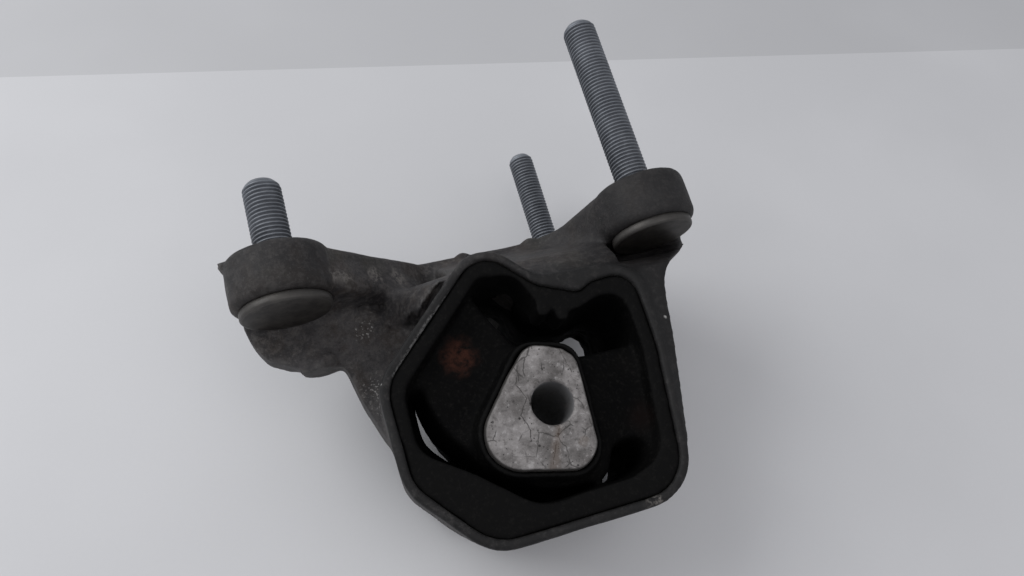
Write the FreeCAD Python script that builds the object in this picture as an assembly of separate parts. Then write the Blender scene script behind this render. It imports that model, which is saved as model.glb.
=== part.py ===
"""Engine mount: a cast aluminium bracket that holds a bonded rubber bush and carries three studs.

Frame, in millimetres: the origin is the centre of the bush bore, at half its length.
+Z runs along the bore towards the front, +Y is the direction in which the studs leave the
mounting face, and +X runs across, from the left ear to the right ear.
"""
import FreeCAD, Part
import math
import os
from FreeCAD import Vector

# ---- bush bore and inner core -------------------------------------------------------------
BORE_D = 12.5              # through bolt bore
BORE_CHAMFER = 0.7
CORE_LENGTH = 51.0
CORE_EDGE = 0.6            # broken edge round both ends of the core
CORE_TOP_Y = 17.6          # highest line of the core, at its upper left corner
CORE_BOTTOM_Y = -21.9      # lower right corner, before rounding
CORE_RIGHT_X = 11.3        # upper right corner, before rounding
CORE_LEFT_X = -30.5        # lower left corner, before rounding

# ---- ring of the bracket ------------------------------------------------------------------
RING_DEPTH = 50.0
RING_WALL = 2.8
DRAFT_DEG = 5.0            # the ring narrows towards the rear
OPENING_LEFT_X = -44.8
OPENING_RIGHT_X = 37.4
OPENING_BOTTOM_Y = -32.8
OPENING_LOBE_Y = 50.9      # upper left corner of the opening, before rounding
OPENING_SHOULDER_Y = 35.0  # upper right corner, before rounding
OPENING_DIP_Y = 31.0       # the point where the casting dips between the two upper lobes
RIM_EDGE = 0.8             # broken front edge of the ring

# ---- mounting flange ----------------------------------------------------------------------
FACE_Y = 63.0              # mounting face
FLANGE_THICKNESS = 15.5
EAR_R = 15.4               # left and right ears
REAR_EAR_R = 12.5
STUD_LEFT = (-66.5, 17.5)  # places of the studs on the mounting face, as X and Z
STUD_RIGHT = (51.0, 18.8)
STUD_REAR = (35.0, -37.0)
FLANGE_FRONT_Z = -11.5     # front edge of the flange between the two ears
FLANGE_EDGE = 1.3          # broken edge of the flange
SPOT_DEPTH = 6.5           # relief cut under each ear, so that the stud head seats
SPOT_CLEARANCE = 0.9       # between the stud head and that relief

# ---- webs between the ring and the flange -------------------------------------------------
WEB_FRONT_Z = 21.0         # front of the webs at the ring
WALL_FRONT_Z = 3.0         # front of the two walls behind the ears
WALL_REAR_Z = -7.0
SHOULDER_LEFT = 12.5       # the flange's rear shoulders, sideways from the studs
SHOULDER_RIGHT = 19.5
LUG_R = 6.2                # locating lug under the left wall
LUG_X = -60.0
LUG_Z = -2.0
LUG_TIP_Y = 30.4
RIB_THICKNESS = 8.0        # rib behind the ring
RIB_X = 6.0
RIB_FOOT_Y = 12.0

# ---- rubber bush --------------------------------------------------------------------------
LIP_INSET = 1.0            # the liner stops this far inside each face of the ring
ARM_RECESS = 5.5           # the arms lie this far behind the lip, at both ends
LIP = 4.6                  # width of the liner's lip
COAT = 1.5                 # rubber on the core
NUB_R = 2.1                # two nubs on the upper stop
NUB_LENGTH = 12.0
REAR_NARROWING = 1.8       # the upper space is narrower in the rear half, where the moulds part
SLOT_INWARD = 4.0          # shifts of the slot's two limbs in the rear half
SLOT_DROP = 1.9

# ---- studs --------------------------------------------------------------------------------
STUD_D = 12.0              # left and right studs, M12
REAR_STUD_D = 10.0         # rear stud, M10
STUD_LEFT_LENGTH = 25.5    # lengths above the mounting face
STUD_RIGHT_LENGTH = 66.0
STUD_REAR_LENGTH = 47.0
HEAD_R = 13.4
REAR_HEAD_R = 10.5
HEAD_THICKNESS = 2.8
TIP_CHAMFER = 1.8
NECK_STEP = 0.4            # the pressed-in neck is this much larger in radius than the shank
STUD_CLEARANCE = 0.05      # between a stud's neck and its hole

FRONT_Z = RING_DEPTH / 2.0
REAR_Z = -RING_DEPTH / 2.0
UNDER_Y = FACE_Y - FLANGE_THICKNESS
Y_AXIS = Vector(0, 1, 0)
Z_AXIS = Vector(0, 0, 1)


def shifted_corners(corners, grow):
    """Corners as (x, y, radius), anticlockwise, moved outwards by grow.

    Returns each point with the directions before and after it and its new radius.
    """
    count = len(corners)
    moved = []
    for i in range(count):
        px, py, _ = corners[i - 1]
        x, y, radius = corners[i]
        nx, ny, _ = corners[(i + 1) % count]
        before = Vector(x - px, y - py, 0).normalize()
        after = Vector(nx - x, ny - y, 0).normalize()
        out_before = Vector(before.y, -before.x, 0)
        out_after = Vector(after.y, -after.x, 0)
        shift = (out_before + out_after) * (grow / (1.0 + out_before.dot(out_after)))
        turn = before.x * after.y - before.y * after.x
        new_radius = radius + grow if turn > 0 else radius - grow
        moved.append((Vector(x, y, 0) + shift, before, after, max(new_radius, 0.3)))
    return moved


def rounded_outline(corners, grow=0.0):
    """One tangent arc for each corner and one line between each two, in the XY plane."""
    count = len(corners)
    starts = []
    for point, before, after, radius in shifted_corners(corners, grow):
        half = math.acos(max(-1.0, min(1.0, before.dot(after)))) / 2.0
        reach = radius * math.tan(half)
        first = point - before * reach
        last = point + after * reach
        inward = (after - before).normalize()
        middle = point + inward * (radius / math.cos(half) - radius)
        starts.append((first, middle, last))
    edges = []
    for i in range(count):
        first, middle, last = starts[i]
        edges.append(Part.Arc(first, middle, last).toShape())
        edges.append(Part.makeLine(last, starts[(i + 1) % count][0]))
    return edges


def outline_wire(corners, grow=0.0, z=0.0):
    wire = Part.Wire(rounded_outline(corners, grow))
    wire.translate(Vector(0, 0, z))
    return wire


def prism(corners, z_low, z_high, grow=0.0):
    face = Part.Face(outline_wire(corners, grow, z_low))
    return face.extrude(Vector(0, 0, z_high - z_low))


def corner_tool(low, high, before, after, radius):
    """What a fillet takes from, or adds to, the leaning edge from low to high."""
    along = (high - low).normalize()
    side_a = (along * before.dot(along) - before).normalize()
    side_b = (after - along * after.dot(along)).normalize()
    half = math.acos(side_a.dot(side_b)) / 2.0
    inward = (side_a + side_b).normalize()
    start = low - along * 3.0
    reach = radius / math.tan(half)
    point_a = start + side_a * reach
    point_b = start + side_b * reach
    middle = start + inward * (radius / math.sin(half) - radius)
    outside = start - inward * 0.5
    profile = Part.Wire([Part.makeLine(outside, point_a),
                         Part.Arc(point_a, middle, point_b).toShape(),
                         Part.makeLine(point_b, outside)])
    return Part.Face(profile).extrude(along * ((high - low).Length + 6.0))


def drafted(corners, z_low, z_high, grow=0.0):
    """A prism that narrows towards the rear by the draft angle, measured from the ring's front.

    Its flat sides lean by the draft angle, and each corner between two of them is a fillet.
    """
    slope = math.tan(math.radians(DRAFT_DEG))
    low, high = [shifted_corners(corners, grow - slope * (FRONT_Z - z)) for z in (z_low, z_high)]
    rings = []
    for z, moved in ((z_low, low), (z_high, high)):
        ring = [Vector(point.x, point.y, z) for point, _, _, _ in moved]
        rings.append(ring)
    body = Part.makeLoft([Part.makePolygon(ring + [ring[0]]) for ring in rings], True, True)
    slab = Part.makeBox(300, 300, z_high - z_low, Vector(-150, -150, z_low))
    radii = [radius for _, _, _, radius in shifted_corners(corners, grow)]
    for foot, top, (_, before, after, _), radius in zip(rings[0], rings[1], low, radii):
        tool = corner_tool(foot, top, before, after, radius)
        if before.x * after.y > before.y * after.x:
            body = body.cut(tool)
        else:
            body = body.fuse(tool.common(slab))
    return body.removeSplitter()


def plain_prism(points, z_low, z_high):
    """Sharp cornered prism along Z from points as (x, y)."""
    ring = [Vector(x, y, z_low) for x, y in points]
    face = Part.Face(Part.makePolygon(ring + [ring[0]]))
    return face.extrude(Vector(0, 0, z_high - z_low))


def side_prism(points, x_low, x_high):
    """Sharp cornered prism along X from points as (y, z)."""
    ring = [Vector(x_low, y, z) for y, z in points]
    face = Part.Face(Part.makePolygon(ring + [ring[0]]))
    return face.extrude(Vector(x_high - x_low, 0, 0))


def ruled_web(sections):
    """A web ruled through four-sided sections, from the ring to the flange."""
    wires = []
    for corners in sections:
        ring = [Vector(*corner) for corner in corners]
        wires.append(Part.makePolygon(ring + [ring[0]]))
    return Part.makeLoft(wires, True, True)


def opening_corners():
    """The opening of the ring: a rounded hexagon whose top dips between two lobes."""
    return [
        (OPENING_LEFT_X, 16.3, 12.0),
        (OPENING_LEFT_X + 0.9, -12.2, 12.0),
        (OPENING_LEFT_X + 18.6, OPENING_BOTTOM_Y, 14.0),
        (OPENING_RIGHT_X - 5.6, OPENING_BOTTOM_Y, 13.0),
        (OPENING_RIGHT_X, 10.0, 30.0),
        (OPENING_RIGHT_X, OPENING_SHOULDER_Y, 8.0),
        (23.0, OPENING_SHOULDER_Y - 1.6, 5.0),
        (18.5, OPENING_DIP_Y, 3.4),
        (6.0, 36.0, 12.0),
        (-8.3, OPENING_LOBE_Y, 9.0),
    ]


def ring_corners():
    """The same hexagon without the dip, which the outside of the ring follows."""
    corners = opening_corners()
    return corners[:6] + corners[8:]


def core_corners():
    return [
        (CORE_LEFT_X, -12.2, 10.5),
        (CORE_RIGHT_X - 2.0, CORE_BOTTOM_Y, 7.5),
        (CORE_RIGHT_X, 14.6, 5.6),
        (-3.8, CORE_TOP_Y + 1.2, 6.0),
    ]


def slot_corners(inward=0.0, drop=0.0):
    """The curved slot under the core, from high on the left round to the lower right.

    In the rear half its left limb is further inward and its lower limb further down.
    """
    left = OPENING_LEFT_X + LIP + 0.7 + inward
    floor = OPENING_BOTTOM_Y - drop
    return [
        (left, 15.0 + inward, 1.9),
        (left - 0.2, -3.0 + inward, 9.0),
        (-27.5 + inward, -12.6, 14.0),
        (-11.0, floor + 6.6, 12.0),
        (17.0, floor + 7.4, 8.0),
        (26.6, -22.5 - drop, 5.0),
        (25.0, -15.0, 3.2),
        (16.2, -15.2, 4.0),
        (11.6, -24.3 - drop, 5.0),
        (-6.0, -22.8 - drop, 14.0),
        (-22.4, -12.8, 10.0),
        (-30.6 + inward, 1.6, 10.0),
        (-34.6 + inward, 15.0 + inward, 1.9),
    ]


def void_corners():
    """The space over the core: two lobes on either side of the upper stop."""
    return [
        (-10.4, 31.5, 5.0),
        (-3.6, CORE_TOP_Y + 1.4, 4.0),
        (8.6, CORE_TOP_Y - 0.6, 3.0),
        (13.6, 12.6, 2.6),
        (OPENING_RIGHT_X - LIP, 12.2, 2.6),
        (OPENING_RIGHT_X - LIP - 0.6, OPENING_SHOULDER_Y - LIP - 2.0, 5.5),
        (23.5, OPENING_SHOULDER_Y - LIP - 2.2, 3.0),
        (16.5, OPENING_DIP_Y - LIP - 0.6, 4.0),
        (5.6, OPENING_DIP_Y - LIP + 2.2, 3.0),
        (0.5, 40.5, 5.0),
        (-14.8, 42.4, 3.0),
    ]


def recess_corners():
    """The front of the arms, inside the lip and above the pad."""
    left = OPENING_LEFT_X + LIP
    right = OPENING_RIGHT_X - LIP
    return [
        (left, 14.0, 8.5),
        (left, -4.0, 8.0),
        (-27.5, -12.6, 14.0),
        (-11.0, OPENING_BOTTOM_Y + 6.2, 12.0),
        (17.0, OPENING_BOTTOM_Y + 7.0, 8.0),
        (right - 4.6, -22.5, 9.0),
        (right, 10.0, 20.0),
        (right - 0.6, OPENING_SHOULDER_Y - LIP - 2.0, 5.5),
        (23.5, OPENING_SHOULDER_Y - LIP - 2.2, 3.0),
        (16.5, OPENING_DIP_Y - LIP - 0.6, 4.0),
        (5.6, OPENING_DIP_Y - LIP + 2.2, 3.0),
        (-8.6, OPENING_LOBE_Y - 6.6, 5.5),
    ]


def upright_cylinder(place, radius, y_low, y_high):
    x, z = place
    return Part.makeCylinder(radius, y_high - y_low, Vector(x, y_low, z), Y_AXIS)


def beside(place, other, radius):
    """A point just inside the rim of an ear, on the right hand of the way to the other ear."""
    dx = other[0] - place[0]
    dz = other[1] - place[1]
    inside = 0.98 * radius / math.hypot(dx, dz)
    return (place[0] + dz * inside, place[1] - dx * inside, 0.2)


def flange_outline():
    """Plan of the flange between the ears: two rear shoulders and a hollowed front edge."""
    left_x, left_z = STUD_LEFT
    right_x, right_z = STUD_RIGHT
    return [
        (left_x + EAR_R * 0.92, left_z - EAR_R * 0.33, 0.2),
        (left_x - EAR_R * 0.98, left_z, 0.2),
        (left_x - SHOULDER_LEFT, WALL_REAR_Z, 7.0),
        beside(STUD_REAR, (2 * STUD_REAR[0] - left_x, 2 * STUD_REAR[1] - left_z), REAR_EAR_R),
        beside(STUD_REAR, STUD_RIGHT, REAR_EAR_R),
        (right_x + SHOULDER_RIGHT, WALL_REAR_Z + 6.0, 7.0),
        (right_x + EAR_R * 0.98, right_z, 0.2),
        (right_x - EAR_R * 0.98, right_z, 0.2),
        (STUD_REAR[0] - 9.0, FLANGE_FRONT_Z, 16.0),
        (-22.0, FLANGE_FRONT_Z, 14.0),
    ]


def ear_places():
    return [(STUD_LEFT, EAR_R), (STUD_RIGHT, EAR_R), (STUD_REAR, REAR_EAR_R)]


def flange_plate(thickness):
    """The outline and the three ears, drawn with Z as their Y, from the face downwards."""
    plate = Part.Face(outline_wire(flange_outline())).extrude(Vector(0, 0, -thickness))
    for (x, z), radius in ear_places():
        ear = Part.makeCylinder(radius, thickness, Vector(x, z, 0), -Z_AXIS)
        plate = plate.fuse(ear)
    return plate.removeSplitter()


def broken_edges(plate):
    flat_edges = [e for e in plate.Edges if e.BoundBox.ZMax - e.BoundBox.ZMin < 1e-6]
    return plate.makeChamfer(FLANGE_EDGE, flat_edges)


def placed(plate):
    """Turns a plate drawn with Z as its Y, so that its face looks along +Y at the face's height."""
    plate.rotate(Vector(0, 0, 0), Vector(1, 0, 0), -90)
    mirror = plate.mirror(Vector(0, 0, 0), Z_AXIS)
    mirror.translate(Vector(0, FACE_Y, 0))
    return mirror


def walls():
    """Walls that hang from the flange behind the two side ears, down to the ring."""
    left_x = STUD_LEFT[0]
    right_x = STUD_RIGHT[0]
    left = plain_prism(
        [(left_x - 17.0, UNDER_Y + 3), (left_x - 13.6, 48.0), (left_x - 11.6, 42.0),
         (left_x - 8.6, 37.0), (left_x - 2.9, 33.8), (left_x + 2.0, 32.4), (left_x + 13.0, 31.6),
         (OPENING_LEFT_X - 5.6, 17.2), (OPENING_LEFT_X - 0.6, 3.0), (0.0, 20.0),
         (-18.0, UNDER_Y + 3)],
        WALL_REAR_Z, WALL_FRONT_Z)
    right = plain_prism(
        [(right_x + 20.0, UNDER_Y + 3), (right_x + 20.0, 46.5), (right_x + 11.0, 40.3),
         (right_x + 2.4, 35.7), (right_x - 1.0, 33.0), (OPENING_RIGHT_X + 10.6, 29.2),
         (OPENING_RIGHT_X + 8.6, 21.7), (OPENING_RIGHT_X + 6.4, 9.0),
         (OPENING_RIGHT_X + 2.3, -9.2), (OPENING_RIGHT_X - 0.8, -23.0), (0.0, 10.0),
         (20.0, UNDER_Y + 3)],
        WALL_REAR_Z, FRONT_Z - 2.0 * RIM_EDGE)
    slope = side_prism(
        [(34.0, FRONT_Z), (UNDER_Y + 4.0, FRONT_Z), (UNDER_Y + 4.0, WALL_FRONT_Z - 1.0),
         (46.5, WALL_FRONT_Z - 1.0)], 0.0, right_x + 30.0)
    below_flange = placed(flange_plate(FACE_Y - 28.0))
    kept = left.fuse(right.cut(slope)).common(below_flange)
    on_ring = right.cut(slope).common(Part.makeBox(60, 60, 60, Vector(0, -20, WALL_REAR_Z)))
    lower = on_ring.common(plain_prism([(0, -20), (60, -20), (60, 30), (46, 34), (0, 34)],
                                       WALL_REAR_Z, FRONT_Z))
    fan_foot = left.common(plain_prism([(-60, -10), (0, -10), (0, 50), (-50, 33), (-60, 30)],
                                       WALL_REAR_Z, WALL_FRONT_Z))
    return [kept, lower, fan_foot]


def webs():
    """The sloping web on the left, the top web, the rear rib and the locating lug."""
    rear = WALL_REAR_Z
    left_web = ruled_web([
        [(OPENING_LEFT_X - 1.2, 1.0, WEB_FRONT_Z), (-17.0, 46.0, WEB_FRONT_Z),
         (-17.0, 46.0, rear), (OPENING_LEFT_X - 0.4, 3.0, rear)],
        [(-52.6, 25.0, 8.0), (-19.0, UNDER_Y + 0.5, 9.0),
         (-19.0, UNDER_Y + 0.5, rear), (-52.6, 25.0, rear)],
        [(STUD_LEFT[0] - 3.4, UNDER_Y + 2, WALL_FRONT_Z + 1), (-20.0, UNDER_Y + 2, -4.0),
         (-20.0, UNDER_Y + 2, rear), (STUD_LEFT[0] - 3.4, UNDER_Y + 2, rear)]])
    top_web = side_prism(
        [(30.0, FRONT_Z - 3.0), (41.0, FRONT_Z - 3.0), (UNDER_Y - 1.0, FRONT_Z - 8.0),
         (FACE_Y - 3.0, FLANGE_FRONT_Z - 0.5), (FACE_Y - 3.0, REAR_Z), (30.0, REAR_Z)],
        -16.0, STUD_RIGHT[0] - EAR_R)
    rib = side_prism(
        [(RIB_FOOT_Y, REAR_Z + 6.0), (UNDER_Y + 2.0, REAR_Z + 6.0),
         (UNDER_Y + 2.0, STUD_REAR[1] - 2.0)],
        RIB_X - RIB_THICKNESS / 2.0, RIB_X + RIB_THICKNESS / 2.0)
    lug = upright_cylinder((LUG_X, LUG_Z), LUG_R, LUG_TIP_Y, UNDER_Y - 4.0)
    return [left_web, top_web, rib, lug]


def bracket():
    ring = drafted(ring_corners(), REAR_Z, FRONT_Z, RING_WALL)
    front_edges = [e for e in ring.Edges if e.BoundBox.ZMin > FRONT_Z - 1e-3]
    ring = ring.makeChamfer(RIM_EDGE, front_edges)
    flange = placed(broken_edges(flange_plate(FLANGE_THICKNESS)))
    body = ring.multiFuse(walls() + webs() + [flange])
    body = body.cut(drafted(opening_corners(), REAR_Z - 1.0, FRONT_Z + 1.0))
    for place, hole_d, head_r in studs_in_flange():
        hole_r = hole_d / 2.0 + NECK_STEP + STUD_CLEARANCE
        hole = upright_cylinder(place, hole_r, UNDER_Y - 1, FACE_Y + 1)
        relief = upright_cylinder(place, head_r + SPOT_CLEARANCE, UNDER_Y - SPOT_DEPTH, UNDER_Y)
        body = body.cut(hole.fuse(relief))
    return body.removeSplitter()


def studs_in_flange():
    return [(STUD_LEFT, STUD_D, HEAD_R), (STUD_RIGHT, STUD_D, HEAD_R),
            (STUD_REAR, REAR_STUD_D, REAR_HEAD_R)]


def stud(place, diameter, head_r, length):
    """A pressed-in stud: a round flat head under the flange, and a shank with a chamfered tip."""
    radius = diameter / 2.0
    profile = [
        (0.0, UNDER_Y - HEAD_THICKNESS),
        (head_r, UNDER_Y - HEAD_THICKNESS),
        (head_r, UNDER_Y),
        (radius + NECK_STEP, UNDER_Y),
        (radius + NECK_STEP, FACE_Y),
        (radius, FACE_Y),
        (radius, FACE_Y + length - TIP_CHAMFER),
        (radius - TIP_CHAMFER, FACE_Y + length),
        (0.0, FACE_Y + length),
    ]
    points = [Vector(r, y, 0) for r, y in profile]
    face = Part.Face(Part.makePolygon(points + [points[0]]))
    solid = face.revolve(Vector(0, 0, 0), Y_AXIS, 360)
    solid.translate(Vector(place[0], 0, place[1]))
    return solid


def core():
    body = prism(core_corners(), -CORE_LENGTH / 2.0, CORE_LENGTH / 2.0)
    end_edges = [e for e in body.Edges
                 if abs(e.BoundBox.ZMax - e.BoundBox.ZMin) < 1e-6]
    body = body.makeChamfer(CORE_EDGE, end_edges)
    bore = Part.makeCylinder(BORE_D / 2.0, CORE_LENGTH + 2, Vector(0, 0, -CORE_LENGTH / 2.0 - 1))
    body = body.cut(bore)
    for side in (1, -1):
        mouth = Part.makeCone(BORE_D / 2.0, BORE_D / 2.0 + BORE_CHAMFER, BORE_CHAMFER,
                              Vector(0, 0, side * (CORE_LENGTH / 2.0 - BORE_CHAMFER)),
                              Vector(0, 0, side))
        body = body.cut(mouth)
    return body


def rubber():
    """Liner, two arms, lower pad and upper stop, moulded in one piece round the core."""
    front = FRONT_Z - LIP_INSET
    rear = REAR_Z + LIP_INSET
    body = drafted(opening_corners(), rear, front)
    body = body.cut(prism(recess_corners(), front - ARM_RECESS, front + 1))
    body = body.cut(prism(recess_corners(), rear - 1, rear + ARM_RECESS, -4.5))
    body = body.cut(prism(slot_corners(), 0, front + 1))
    body = body.cut(prism(slot_corners(SLOT_INWARD, SLOT_DROP), rear - 1, 0))
    body = body.cut(prism(void_corners(), 0, front + 1))
    body = body.cut(prism(void_corners(), rear - 1, 0, -REAR_NARROWING))
    body = body.fuse(prism(core_corners(), rear, front, COAT))
    for x, y in ((6.0, OPENING_DIP_Y - LIP + 1.6), (11.4, OPENING_DIP_Y - LIP - 1.0)):
        nub = Part.makeCylinder(NUB_R, NUB_LENGTH, Vector(x, y, front - NUB_LENGTH))
        body = body.fuse(nub)
    body = body.cut(prism(core_corners(), -CORE_LENGTH, CORE_LENGTH))
    return body.removeSplitter()


def build():
    return {
        "bracket": bracket(),
        "rubber_bush": rubber(),
        "bush_core": core(),
        "stud_left": stud(STUD_LEFT, STUD_D, HEAD_R, STUD_LEFT_LENGTH),
        "stud_right": stud(STUD_RIGHT, STUD_D, HEAD_R, STUD_RIGHT_LENGTH),
        "stud_rear": stud(STUD_REAR, REAR_STUD_D, REAR_HEAD_R, STUD_REAR_LENGTH),
    }


def main():
    os.makedirs("parts", exist_ok=True)
    for name, shape in build().items():
        print(name, shape.ShapeType, len(shape.Solids), shape.isValid(), round(shape.Volume / 1000, 2))
        shape.exportStep("parts/" + name + ".step")


main()
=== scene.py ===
"""Engine mount on a pale table: skins, threads, finishes, lights and camera.

The scene is in metres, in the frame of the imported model: the origin is the centre of the bush
bore, +Z runs along the bore to the front and +Y is the way the studs leave the flange. Sizes
and places on the part are written in millimetres, those of the table and camera in metres.
"""

import bmesh
import bpy
import numpy as np
from mathutils import Matrix, Vector


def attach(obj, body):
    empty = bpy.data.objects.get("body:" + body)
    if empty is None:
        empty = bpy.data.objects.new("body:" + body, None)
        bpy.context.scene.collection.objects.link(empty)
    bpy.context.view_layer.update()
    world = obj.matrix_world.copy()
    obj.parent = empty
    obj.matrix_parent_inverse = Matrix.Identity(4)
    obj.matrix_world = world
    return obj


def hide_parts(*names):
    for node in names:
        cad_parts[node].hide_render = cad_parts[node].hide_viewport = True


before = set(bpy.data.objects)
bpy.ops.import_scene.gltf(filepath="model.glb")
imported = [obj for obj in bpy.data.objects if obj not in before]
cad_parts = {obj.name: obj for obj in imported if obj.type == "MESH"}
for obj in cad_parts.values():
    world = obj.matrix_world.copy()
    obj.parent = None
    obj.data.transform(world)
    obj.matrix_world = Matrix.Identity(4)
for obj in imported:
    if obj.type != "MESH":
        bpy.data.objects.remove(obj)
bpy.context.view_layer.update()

MM = 0.001
FACE_Y = 63.0                 # mounting face, mm
UNDER_Y = 47.5                # underside of the ears
RING_FRONT = 25.0
CORE_FRONT = 25.5
RIM_LEVEL = 24.7              # where the sloping web meets the ring's rim
STUDS = {
    # place as X and Z, radius, length over the face, pitch, head radius, mm
    "stud_left": ((-66.5, 17.5), 6.0, 25.5, 1.25, 13.4),
    "stud_right": ((51.0, 18.8), 6.0, 66.0, 1.25, 13.4),
    "stud_rear": ((35.0, -37.0), 5.0, 47.0, 1.25, 10.5),
}
HEAD_THICKNESS = 2.8
HEAD_ROUND = 0.9              # radius of the edge of a stud's head
HEAD_HIGHLIGHT_WIDTH = 0.85              # width of the painted highlight along that edge
NECK_STEP = 0.4
THREAD_SLACK = 0.12           # how far the crests stay inside the pin's radius
THREAD_DEPTH = 0.66
THREAD_COLUMNS = 56
TIP_HEIGHT = 3.0              # chamfer at the free end of a stud, and the dome on top of it
TIP_RISE = 2.4
TIP_TAPER = 1.6
DOME_HEIGHT = 0.6
CASTING_CELL = 0.85           # spacing of the even mesh that each skin is worked on
RUBBER_CELL = 0.85
CORE_CELL = 0.5

TABLE_NORMAL = np.array([0.0, 0.290, 0.957])
TABLE_HALF = 1.5              # metres
TABLE_GAP = 0.0001
FAR_EDGE_START = 0.2190
FAR_EDGE_SLOPE = 0.1555


# ---- whole-array helpers ------------------------------------------------------------------

def lattice_noise(points, size, seed=0.0):
    """Smooth noise from -1 to 1: random values on a cubic lattice of the given cell size,
    blended over each cell with the curve 3t^2 - 2t^3."""
    cell = points / size + seed
    low = np.floor(cell)
    t = cell - low
    t = t * t * (3.0 - 2.0 * t)
    total = np.zeros(len(points))
    for dx in (0, 1):
        for dy in (0, 1):
            for dz in (0, 1):
                corner = low + np.array([dx, dy, dz])
                value = np.sin(corner @ np.array([12.9898, 78.233, 37.719]) + seed) * 43758.5453
                value = 2.0 * (value - np.floor(value)) - 1.0
                weight = np.abs(1 - dx - t[:, 0]) * np.abs(1 - dy - t[:, 1])
                weight = weight * np.abs(1 - dz - t[:, 2])
                total += value * weight
    return total


def fade(distance, radius):
    """One at the centre, falling smoothly to nothing at the radius."""
    t = np.clip(1.0 - distance / radius, 0.0, 1.0)
    return t * t * (3.0 - 2.0 * t)


def along_segment(points, start, end):
    """Distance of each point from the straight line between two ends, and how far along it lies."""
    start = np.array(start, dtype=float)
    way = np.array(end, dtype=float) - start
    t = np.clip((points - start) @ way / (way @ way), 0.0, 1.0)
    return np.linalg.norm(points - start - t[:, None] * way, axis=1), t


class Skin:
    """Copy of a CAD node's surface, remeshed evenly, that can be softened and worked on.

    Added is a list of convex blocks, each given by its corners, that grow into the surface.
    Points are held in millimetres.
    """

    def __init__(self, node, cell, added=()):
        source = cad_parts[node]
        mesh = source.data.copy()
        joined = bmesh.new()
        joined.from_mesh(mesh)
        bmesh.ops.remove_doubles(joined, verts=joined.verts, dist=2e-5)
        for corners in added:
            block = [joined.verts.new(tuple(value * MM for value in corner)) for corner in corners]
            bmesh.ops.convex_hull(joined, input=block)
        joined.to_mesh(mesh)
        joined.free()
        self.object = bpy.data.objects.new(node + "_skin", mesh)
        bpy.context.scene.collection.objects.link(self.object)
        self.object.data.materials.clear()
        remesh = self.object.modifiers.new("even", "REMESH")
        remesh.mode = "VOXEL"
        remesh.voxel_size = cell * MM
        remesh.adaptivity = 0.0
        graph = bpy.context.evaluated_depsgraph_get()
        even = bpy.data.meshes.new_from_object(self.object.evaluated_get(graph))
        self.object.modifiers.clear()
        self.object.data = even
        self.mesh = even
        count = len(even.vertices)
        flat = np.empty(count * 3)
        even.vertices.foreach_get("co", flat)
        self.points = flat.reshape(count, 3) / MM
        ends = np.empty(len(even.edges) * 2, dtype=np.int64)
        even.edges.foreach_get("vertices", ends)
        self.ends = ends.reshape(-1, 2)
        self.degree = np.bincount(ends, minlength=count).astype(float)

    def write(self):
        self.mesh.vertices.foreach_set("co", (self.points * MM).ravel())
        self.mesh.update()

    def normals(self):
        self.write()
        flat = np.empty(len(self.points) * 3)
        self.mesh.vertices.foreach_get("normal", flat)
        return flat.reshape(-1, 3)

    def pull(self):
        """The way from each point to the mean of its neighbours."""
        a = self.ends[:, 0]
        b = self.ends[:, 1]
        count = len(self.points)
        mean = np.empty_like(self.points)
        for axis in range(3):
            column = self.points[:, axis]
            mean[:, axis] = (np.bincount(a, column[b], count) + np.bincount(b, column[a], count))
        return mean / self.degree[:, None] - self.points

    def fill_corners(self, rounds, weight):
        """Moves points outwards only, so inner corners fill to soft fillets and edges stay."""
        for _ in range(rounds):
            normal = self.normals()
            pull = self.pull()
            out = np.maximum(np.einsum("ij,ij->i", pull, normal), 0.0)
            self.points += normal * (out * weight)[:, None]

    def soften(self, rounds, weight=0.5):
        for _ in range(rounds):
            self.points += self.pull() * weight

    def raise_by(self, height):
        self.points += self.normals() * height[:, None]

    def finish(self, name, node, material):
        self.write()
        self.mesh.shade_smooth()
        self.mesh.materials.clear()
        self.mesh.materials.append(material)
        self.object.name = name
        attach(self.object, "root")
        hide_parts(node)


# ---- finishes -----------------------------------------------------------------------------

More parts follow.
